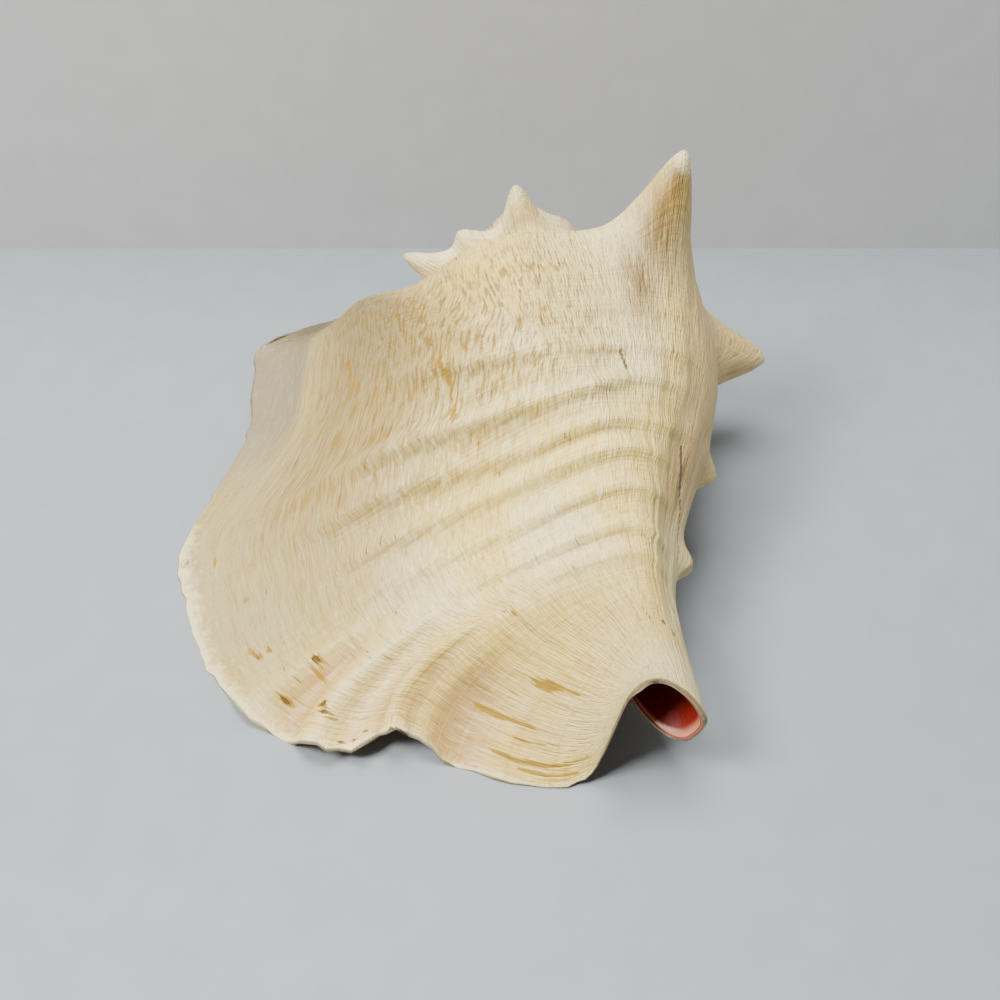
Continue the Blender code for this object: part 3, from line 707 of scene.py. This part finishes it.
# the shell's finish
colours = {
    "cream": (0.93, 0.68, 0.15), "ivory": (0.93, 0.77, 0.35), "golden": (0.72, 0.46, 0.06),
    "wing": (0.34, 0.255, 0.105), "tab": (0.26, 0.215, 0.13), "flank": (0.82, 0.55, 0.22),
    # rosy: a pink tone darkened as painted shade in the fold valleys
    "rosyAndShade": (0.5, 0.285, 0.115), "tan": (0.34, 0.19, 0.018), "ochre": (0.37, 0.205, 0.0),
    # crevice: the dark of cracks and hair lines, and painted shade along the suture
    "stain": (0.2, 0.1, 0.012), "chalk": (0.95, 0.8, 0.42), "crevice": (0.09, 0.04, 0.006),
    # red and salmon: the lining's colour, darkened as painted shade deep in the canal
    "canalRedAndShade": (0.13, 0.0015, 0.0005), "salmonAndShade": (0.24, 0.018, 0.009), "rim": (0.66, 0.27, 0.14),
    # silk: the colour of the painted highlight where the back glints
    "pink": (0.72, 0.2, 0.11), "silk": (1.0, 0.9, 0.48),
}
finish = {
    # noise over stage and share: waves for each, offset of both, detail, roughness
    "growthNoises": {
        "silk": ((520.0, 46.0), (0.0, 0.0), 2.0, 0.6), "lines": ((230.0, 19.0), (0.0, 0.0), 3.0, 0.6),
        "glints": ((560.0, 52.0), (2.0, 8.0), 1.0, 0.5), "bands": ((42.0, 4.0), (3.0, 1.0), 3.0, 0.6),
        "dashes": ((430.0, 36.0), (9.0, 4.0), 1.0, 0.5), "spirals": ((7.0, 260.0), (0.0, 0.0), 2.0, 0.6)},
    # noise in space: scale, detail, roughness
    "placeNoises": {"clouds": (24.0, 3.0, 0.5), "pores": (300.0, 3.0, 0.6), "grain": (1100.0, 2.0, 0.6)},
    # a part is the product of soft ramps: what it is measured on, where the ramp is 0, where it is 1
    "parts": {
        "crown": (("share", 0.12, 0.24), ("share", 0.56, 0.36), ("stage", -0.34, -0.2),
                  ("stage", -0.02, -0.06)),
        "lobe": (("share", 0.7, 0.8), ("share", 0.95, 0.88), ("stage", -0.42, -0.3)),
        "wing": (("stage", -0.2, -0.07), ("share", 0.74, 0.56)),
        "tab": (("stage", -0.026, -0.019), ("share", 0.42, 0.28)),
        "flank": (("stage", -0.32, -0.44), ("share", 0.74, 0.58)),
        "spire": (("stage", -0.98, -1.06),),
        "outer": (("stage", -0.2, -0.1), ("clouds", 0.25, 0.6)),
        "cloudy": (("clouds", 0.38, 0.62),), "clotted": (("clouds", 0.48, 0.62),),
        "darkLines": (("lines", 0.5, 0.64),), "streaked": (("lines", 0.2, 0.46),),
        "darkSilk": (("silk", 0.56, 0.68),), "paleSilk": (("silk", 0.46, 0.32),),
        "darkSpirals": (("spirals", 0.52, 0.66),),
        "dashed": (("dashes", 0.5, 0.58), ("bands", 0.3, 0.5)),
        "hair": (("dashes", 0.7, 0.74), ("bands", 0.5, 0.6)),
        # painted highlight: glinting flecks in the middle of the back, which are also made glossier
        "paintedGlintsAndGloss": (("share", 0.3, 0.42), ("share", 0.8, 0.66), ("stage", -0.38, -0.3),
                  ("stage", -0.08, -0.16), ("glints", 0.53, 0.6), ("bands", 0.6, 0.44)),
        "nearPatch": (("patch", 0.04, 0.22),), "lined": (("inner", 0.3, 0.7),),
        "deepIn": (("share", 0.93, 0.86), ("stage", -0.55, -0.35)),
        "canalRim": (("share", 0.982, 0.998),), "lipRim": (("stage", -0.012, -0.002),)},
    # what is laid over the cream, in this order: mask, how much of it, colour. The fold valleys' colour is a
    # pink tone and painted shade, the tan along each cord's drop is painted shade and dirt, the dark along
    # the suture is painted shade, and the silk glints are a painted highlight
    "layers": (
        ("golden", 0.5, "golden"), ("outerCrown", 0.42, "tan"), ("wing", 0.8, "wing"), ("tab", 1.0, "tab"),
        ("flank", 0.85, "flank"), ("spire", 0.85, "chalk"), ("valleyPinkAndShade", 0.75, "rosyAndShade"),
        ("darkLines", 0.25, "tan"), ("paleStreaks", 1.0, "ivory"), ("darkSilk", 0.24, "tan"),
        ("darkSpirals", 0.2, "tan"), ("dash", 1.0, "tan"), ("brown", 0.9, "stain"), ("dropShadeAndDirt", 0.36, "tan"),
        ("paintedGlintsAndGloss", 0.5, "silk"), ("spot", 0.92, "ochre"), ("dirtAndShade", 0.85, "crevice"), ("chalky", 0.8, "chalk")),
    "palest": 0.6, "lessPaleOnWing": 0.5, "dashOnCrown": 0.8, "dashElsewhere": 0.1,
    "spotFray": 1.7, "spotEdge": (0.36, 0.52), "crackFray": 0.3, "crackEdge": (0.42, 0.66),
    # the amount along the suture is painted shade
    "hairDirt": 0.75, "sutureShade": 0.55, "chalkFray": 1.1, "chalkEdge": (0.25, 0.8), "clotting": 0.7,
    # roughness across the silk, then what polish or chalk take away or add
    "rough": ((0.3, 0.7), (0.36, 0.64)), "silkyGloss": 0.22, "roughMarks": 0.35, "liningGloss": 0.14,
    # how much each noise stands out, and what is left of that inside
    "relief": (("silk", 0.9), ("lines", 1.3), ("pores", 0.3), ("spirals", 0.35)),
    "smoothLining": 0.94, "chalkGrain": 0.6, "bumpStrength": 0.9, "bumpDistance": 0.0009,
    "specular": 0.5, "ior": 1.55, "coat": 0.15, "coatRoughness": 0.3,
}


class NodeDesk:
    # adds nodes to one tree and links them; any value may be a number, a colour, a socket or a mask's name
    def __init__(self, tree):
        self.tree = tree
        self.masks = {}

    def node(self, kind, **settings):
        made = self.tree.nodes.new(kind)
        for name, value in settings.items():
            setattr(made, name, value)
        return made

    def feed(self, socket, value):
        if isinstance(value, str):
            value = self.masks[value]
        if isinstance(value, bpy.types.NodeSocket):
            self.tree.links.new(value, socket)
        elif isinstance(value, tuple) and len(value) == 3 and socket.type == "RGBA":
            socket.default_value = (*value, 1.0)
        else:
            socket.default_value = value

    def math(self, operation, a, b):
        made = self.node("ShaderNodeMath", operation=operation)
        self.feed(made.inputs[0], a)
        self.feed(made.inputs[1], b)
        return made.outputs[0]

    def mix(self, factor, a, b):
        made = self.node("ShaderNodeMix", data_type="RGBA")
        self.feed(made.inputs[0], factor)
        self.feed(made.inputs[6], a)
        self.feed(made.inputs[7], b)
        return made.outputs[2]

    def spread(self, value, low, high, outLow=0.0, outHigh=1.0):
        made = self.node("ShaderNodeMapRange", clamp=True, interpolation_type="SMOOTHSTEP")
        for socket, number in zip(made.inputs, (value, low, high, outLow, outHigh)):
            self.feed(socket, number)
        return made.outputs[0]

    def noise(self, vector, scale, detail, rough):
        made = self.node("ShaderNodeTexNoise")
        self.feed(made.inputs["Vector"], vector)
        self.feed(made.inputs["Scale"], scale)
        self.feed(made.inputs["Detail"], detail)
        self.feed(made.inputs["Roughness"], rough)
        return made.outputs["Fac"]

    def most(self, a, b):
        return self.math("MAXIMUM", a, b)

    def less(self, a, b):
        return self.math("SUBTRACT", a, b)

    def all(self, *values):
        # the product of masks and amounts: what lies in every one of them
        made = values[0]
        for value in values[1:]:
            made = self.math("MULTIPLY", made, value)
        return made

    def channels(self, layer):
        masks = self.node("ShaderNodeVertexColor", layer_name=layer)
        split = self.node("ShaderNodeSeparateColor")
        self.feed(split.inputs[0], masks.outputs["Color"])
        return (*split.outputs[:3], masks.outputs["Alpha"])

    def stretch(self, vector, scale, place):
        made = self.node("ShaderNodeMapping")
        self.feed(made.inputs["Vector"], vector)
        made.inputs["Scale"].default_value = scale
        made.inputs["Location"].default_value = place
        return made.outputs[0]


def shellMasks(desk):
    # every mask by name: the painted ones, the noises and the parts made of ramps
    masks = desk.masks
    masks.update(zip(("inner", "chalk", "patch", "stain"), desk.channels("Skin")))
    masks.update(zip(("crack", "suture", "dropShadeAndDirt", "valleyPinkAndShade"), desk.channels("Marks")))
    place = desk.node("ShaderNodeTexCoord").outputs["Object"]
    growthMap = desk.node("ShaderNodeUVMap", uv_map="Growth").outputs[0]
    split = desk.node("ShaderNodeSeparateXYZ")
    desk.feed(split.inputs[0], growthMap)
    masks["stage"], masks["share"] = split.outputs[0], split.outputs[1]
    for name, (waves, offset, detail, rough) in finish["growthNoises"].items():
        masks[name] = desk.noise(desk.stretch(growthMap, (*waves, 1.0), (*offset, 0.0)), 1.0, detail, rough)
    for name, (scale, detail, rough) in finish["placeNoises"].items():
        masks[name] = desk.noise(place, scale, detail, rough)
    for name, ramps in finish["parts"].items():
        masks[name] = desk.all(*(desk.spread(on, low, high) for on, low, high in ramps))


def blendMasks(desk):
    # the masks that take more than a product of ramps
    masks = desk.masks
    masks["golden"] = desk.most("crown", "lobe")
    masks["outerCrown"] = desk.all("crown", "outer")
    late = desk.all(desk.most("wing", "tab"), finish["lessPaleOnWing"])
    masks["paleStreaks"] = desk.all("paleSilk", desk.less(finish["palest"], late))
    amount = desk.math("ADD", desk.all("crown", finish["dashOnCrown"]), finish["dashElsewhere"])
    masks["dash"] = desk.all("dashed", amount)
    masks["brown"] = desk.all("stain", "streaked")
    speckle = desk.all(desk.less("dashes", 0.5), finish["spotFray"])
    spot = desk.spread(desk.math("ADD", "patch", speckle), *finish["spotEdge"])
    masks["spot"] = desk.all(spot, "nearPatch")
    frayed = desk.math("ADD", "crack", desk.all(speckle, finish["crackFray"]))
    cracked = desk.most(desk.spread(frayed, *finish["crackEdge"]),
                        desk.all("suture", finish["sutureShade"]))
    # hair lines and cracks, with painted shade along the suture
    masks["dirtAndShade"] = desk.most(desk.all("hair", finish["hairDirt"]), cracked)
    speck = desk.all(desk.less("pores", 0.5), finish["chalkFray"])
    masks["chalky"] = desk.spread(desk.math("ADD", "chalk", speck), *finish["chalkEdge"])


def shellColour(desk):
    base = desk.mix("cloudy", colours["cream"], colours["ivory"])
    for name, amount, colour in finish["layers"]:
        base = desk.mix(desk.all(name, amount), base, colours[colour])
    # inside: pink under the lip, red in the canal and deep inside, salmon where it clouds, pale along the
    # rim; the red and the salmon are the lining's colour darkened as painted shade of the deep canal
    lining = desk.mix(desk.all("clotted", finish["clotting"]), colours["canalRedAndShade"], colours["salmonAndShade"])
    lining = desk.mix("deepIn", lining, colours["pink"])
    lining = desk.mix(desk.most("canalRim", "lipRim"), lining, colours["rim"])
    return desk.mix("lined", base, lining)


def shellRoughness(desk):
    (low, high), (polished, dull) = finish["rough"]
    rough = desk.spread("silk", low, high, polished, dull)
    rough = desk.less(rough, desk.all("paintedGlintsAndGloss", finish["silkyGloss"]))
    marks = desk.most("chalky", "spot")
    rough = desk.math("ADD", rough, desk.all(marks, finish["roughMarks"]))
    return desk.less(rough, desk.all("inner", finish["liningGloss"]))


def shellHeight(desk):
    height = desk.all("dirtAndShade", -1.0)
    for name, amount in finish["relief"]:
        height = desk.math("ADD", height, desk.all(name, amount))
    lessInside = desk.less(1.0, desk.all("inner", finish["smoothLining"]))
    grain = desk.all("grain", "chalky", finish["chalkGrain"])
    return desk.math("ADD", desk.all(height, lessInside), grain)


def shellMaterial():
    material = bpy.data.materials.new("ShellSkin")
    material.use_nodes = True
    desk = NodeDesk(material.node_tree)
    shader = material.node_tree.nodes["Principled BSDF"]
    shellMasks(desk)
    blendMasks(desk)
    desk.feed(shader.inputs["Base Color"], shellColour(desk))
    desk.feed(shader.inputs["Roughness"], shellRoughness(desk))
    bump = desk.node("ShaderNodeBump")
    bump.inputs["Strength"].default_value = finish["bumpStrength"]
    bump.inputs["Distance"].default_value = finish["bumpDistance"]
    desk.feed(bump.inputs["Height"], shellHeight(desk))
    desk.feed(shader.inputs["Normal"], bump.outputs[0])
    dull = desk.most("chalky", desk.most("wing", "flank"))
    coat = desk.all(desk.less(1.0, dull), finish["coat"])
    desk.feed(shader.inputs["Coat Weight"], coat)
    shader.inputs["Specular IOR Level"].default_value = finish["specular"]
    shader.inputs["IOR"].default_value = finish["ior"]
    shader.inputs["Coat Roughness"].default_value = finish["coatRoughness"]
    return material


conch.data.materials.clear()
conch.data.materials.append(shellMaterial())
print("Shell finished")


# table, wall, light and camera
studio = {
    "tableColour": (0.285, 0.315, 0.335), "tableRoughness": 0.55,
    "wallColour": (0.5, 0.5, 0.5), "wallRoughness": 0.8,
    "mottleSize": 60.0, "mottleEdge": (0.35, 0.65), "mottleShade": 0.96,
    "wallAway": 0.196, "tableSize": 2.4, "wallHeight": 0.3,
    "cameraAt": (-0.0691, -0.341, 0.3673), "lookAt": (0.0, -0.0159, 0.035), "lens": 50.4,
    # place, size, power and colour of each light
    "lights": {"keyLight": ((-0.62, -0.24, 0.95), 0.36, 21.5, (1.0, 0.99, 0.97)),
               "fillLight": ((-0.02, 0.12, 1.15), 0.6, 18.5, (1.0, 1.0, 1.0))},
    "lightsAimAt": (0.0, 0.0, 0.04),
    "sky": (0.98, 0.99, 1.0), "skyStrength": 0.18,
}


def mottleGroup():
    # a plain surface isn't quite even: soft cloudy patches between two shades of its colour
    group = bpy.data.node_groups.new("SoftMottle", "ShaderNodeTree")
    for name, kind in (("Place", "NodeSocketVector"), ("Size", "NodeSocketFloat"),
                       ("Dark", "NodeSocketColor"), ("Light", "NodeSocketColor")):
        group.interface.new_socket(name=name, in_out="INPUT", socket_type=kind)
    group.interface.new_socket(name="Colour", in_out="OUTPUT", socket_type="NodeSocketColor")
    desk = NodeDesk(group)
    given, made = desk.node("NodeGroupInput").outputs, desk.node("NodeGroupOutput").inputs
    mottle = desk.noise(given["Place"], given["Size"], 3.0, 0.5)
    mottle = desk.spread(mottle, *studio["mottleEdge"])
    desk.feed(made["Colour"], desk.mix(mottle, given["Dark"], given["Light"]))
    return group


def plainMaterial(name, colour, roughness, group):
    material = bpy.data.materials.new(name)
    material.use_nodes = True
    desk = NodeDesk(material.node_tree)
    shader = material.node_tree.nodes["Principled BSDF"]
    # one-sided, so that the shell can also be looked at from behind the wall and from below
    behind = desk.node("ShaderNodeNewGeometry").outputs["Backfacing"]
    desk.feed(shader.inputs["Alpha"], desk.less(1.0, behind))
    mottle = desk.node("ShaderNodeGroup", node_tree=group)
    desk.feed(mottle.inputs["Place"], desk.node("ShaderNodeTexCoord").outputs["Object"])
    desk.feed(mottle.inputs["Size"], studio["mottleSize"])
    desk.feed(mottle.inputs["Dark"], tuple(channel * studio["mottleShade"] for channel in colour))
    desk.feed(mottle.inputs["Light"], colour)
    desk.feed(shader.inputs["Base Color"], mottle.outputs["Colour"])
    shader.inputs["Roughness"].default_value = roughness
    return material


def addPlane(name, size, place, turn, material):
    bpy.ops.object.select_all(action="DESELECT")
    bpy.ops.mesh.primitive_plane_add(size=size, location=place, rotation=turn)
    plane = bpy.context.object
    plane.name = name
    plane.data.materials.append(material)


def aimed(place, target):
    return (Vector(target) - Vector(place)).to_track_quat("-Z", "Y").to_euler()


def addAreaLight(name, place, size, power, colour):
    lamp = bpy.data.lights.new(name, "AREA")
    lamp.size = size
    lamp.energy = power
    lamp.color = colour
    lampObject = bpy.data.objects.new(name, lamp)
    lampObject.location = place
    lampObject.rotation_euler = aimed(place, studio["lightsAimAt"])
    bpy.context.scene.collection.objects.link(lampObject)


def setStage():
    lookAt, cameraAt = Vector(studio["lookAt"]), Vector(studio["cameraAt"])
    level = (lookAt - cameraAt).xy.normalized()
    size, away = studio["tableSize"], studio["wallAway"]
    turn = -np.arctan2(level.x, level.y)
    mottle = mottleGroup()
    middle = lookAt.xy + level * (away - size / 2.0)
    addPlane("table", size, (middle.x, middle.y, 0.0), (0.0, 0.0, turn),
             plainMaterial("TableTop", studio["tableColour"], studio["tableRoughness"], mottle))
    behind = lookAt.xy + level * away
    addPlane("wall", size, (behind.x, behind.y, studio["wallHeight"] - size / 2.0), (pi / 2.0, 0.0, turn),
             plainMaterial("Wall", studio["wallColour"], studio["wallRoughness"], mottle))
    for name, values in studio["lights"].items():
        addAreaLight(name, *values)
    world = bpy.data.worlds.new("Studio")
    world.use_nodes = True
    background = world.node_tree.nodes["Background"].inputs
    background["Color"].default_value = (*studio["sky"], 1.0)
    background["Strength"].default_value = studio["skyStrength"]
    bpy.context.scene.world = world
    camera = bpy.data.cameras.new("camera")
    camera.lens = studio["lens"]
    cameraObject = bpy.data.objects.new("camera", camera)
    cameraObject.location = cameraAt
    cameraObject.rotation_euler = aimed(cameraAt, lookAt)
    bpy.context.scene.collection.objects.link(cameraObject)
    bpy.context.scene.camera = cameraObject


setStage()
print("Stage set")
